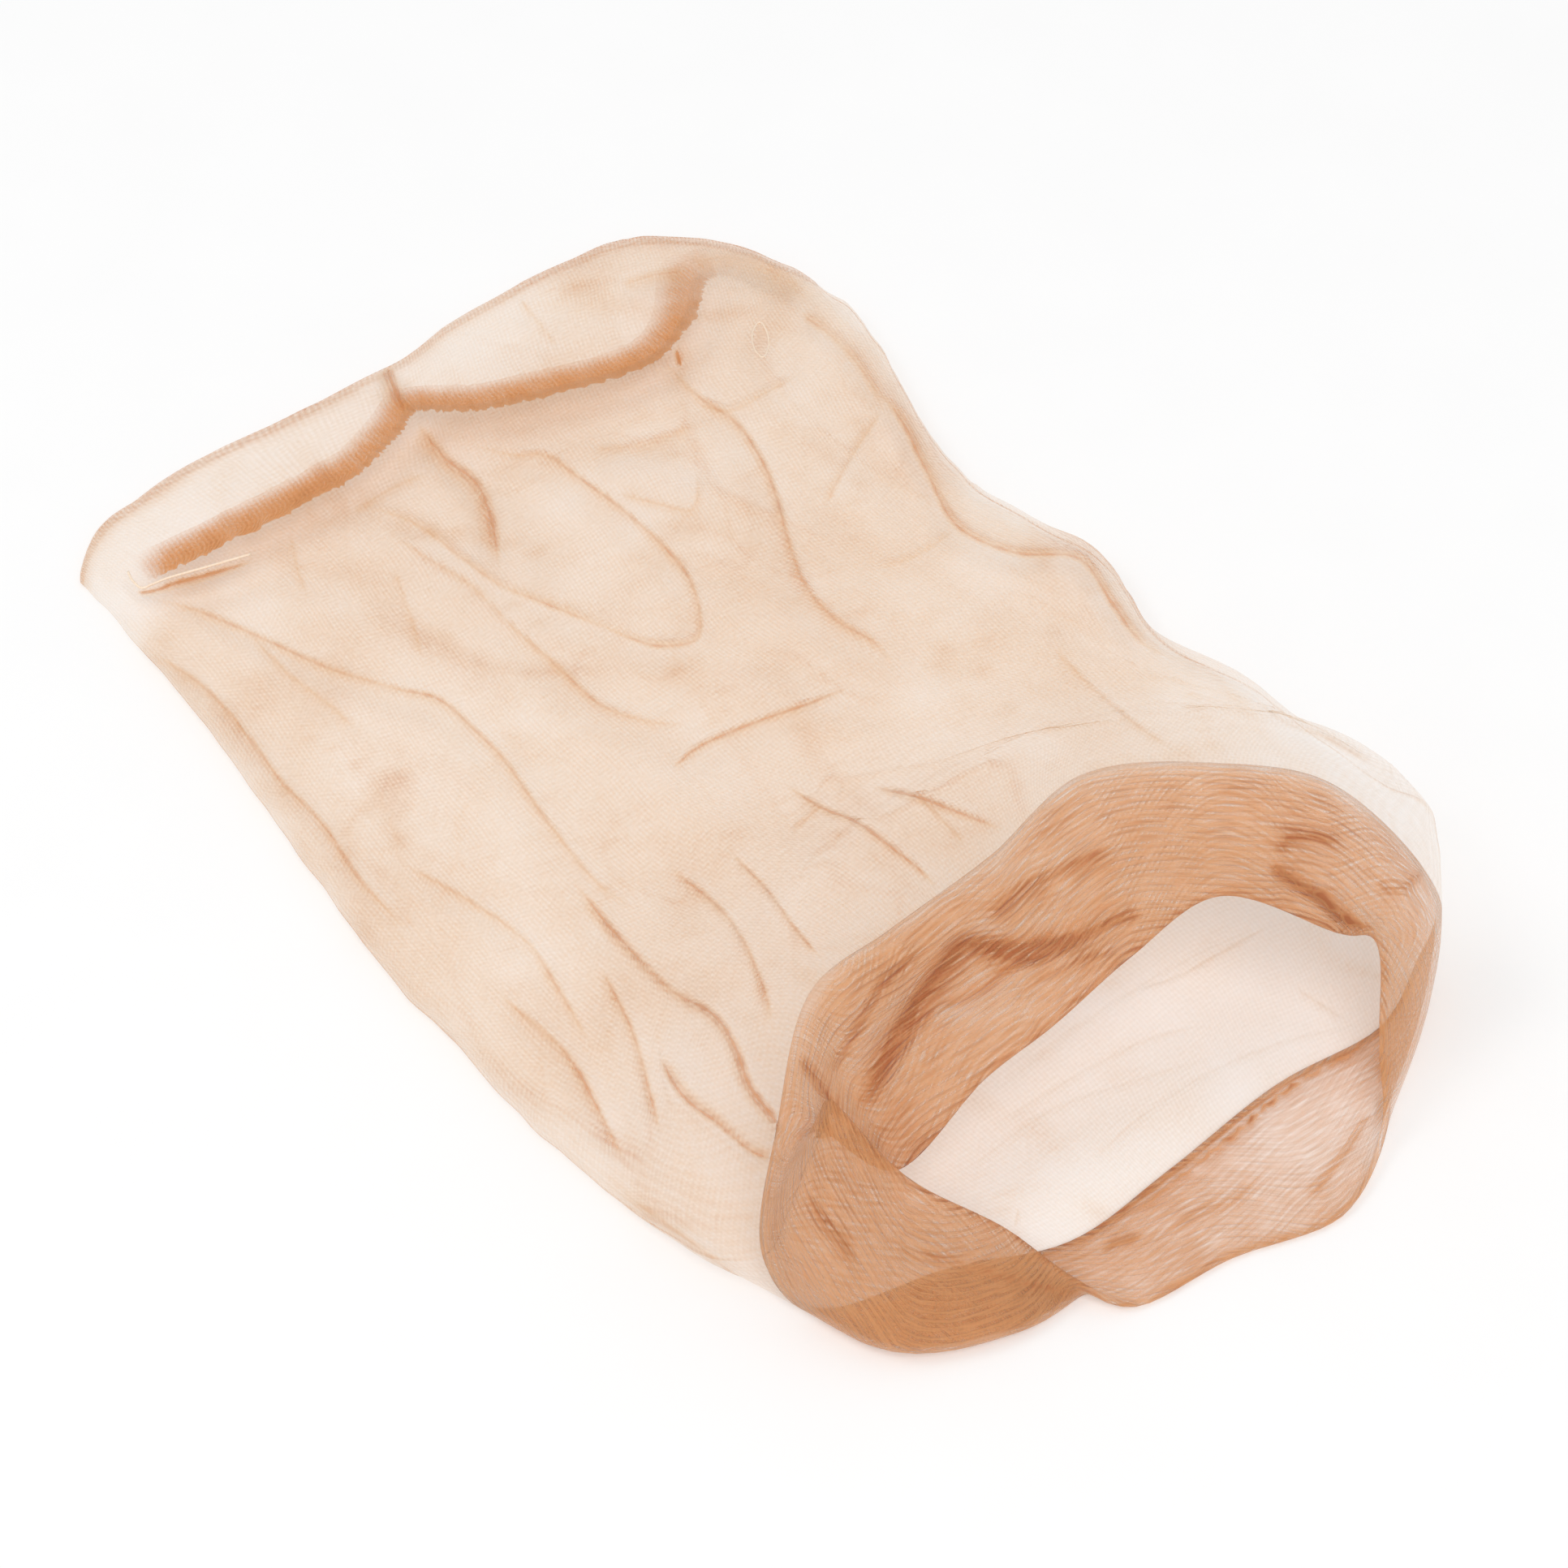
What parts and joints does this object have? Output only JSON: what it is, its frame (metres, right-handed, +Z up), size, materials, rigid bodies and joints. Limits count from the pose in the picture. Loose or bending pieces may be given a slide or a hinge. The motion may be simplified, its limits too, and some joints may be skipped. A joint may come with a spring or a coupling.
{
  "type": "wig cap",
  "caption": "Sheer stocking wig cap lying flat with its doubled welt mouth propped open and a seam across the closed crown.",
  "frame": {"origin": "on the surface that the cap lies on, under the middle of its box", "axes": "+X across the cap, +Y from the open mouth to the closed crown, +Z up from the surface"},
  "size_m": [0.1866, 0.2982, 0.0488],
  "materials": {
    "sheer_knit": "sheer fine nylon tube knit, nude beige",
    "welt_knit": "doubled ribbed nylon welt, tan",
    "seam_knit": "gathered raw seam allowance, darker tan"
  },
  "bodies": {
    "root": {"crown_bag": "sheer_knit", "welt_band": "welt_knit", "toe_seam": "seam_knit"}
  },
  "joints": []
}
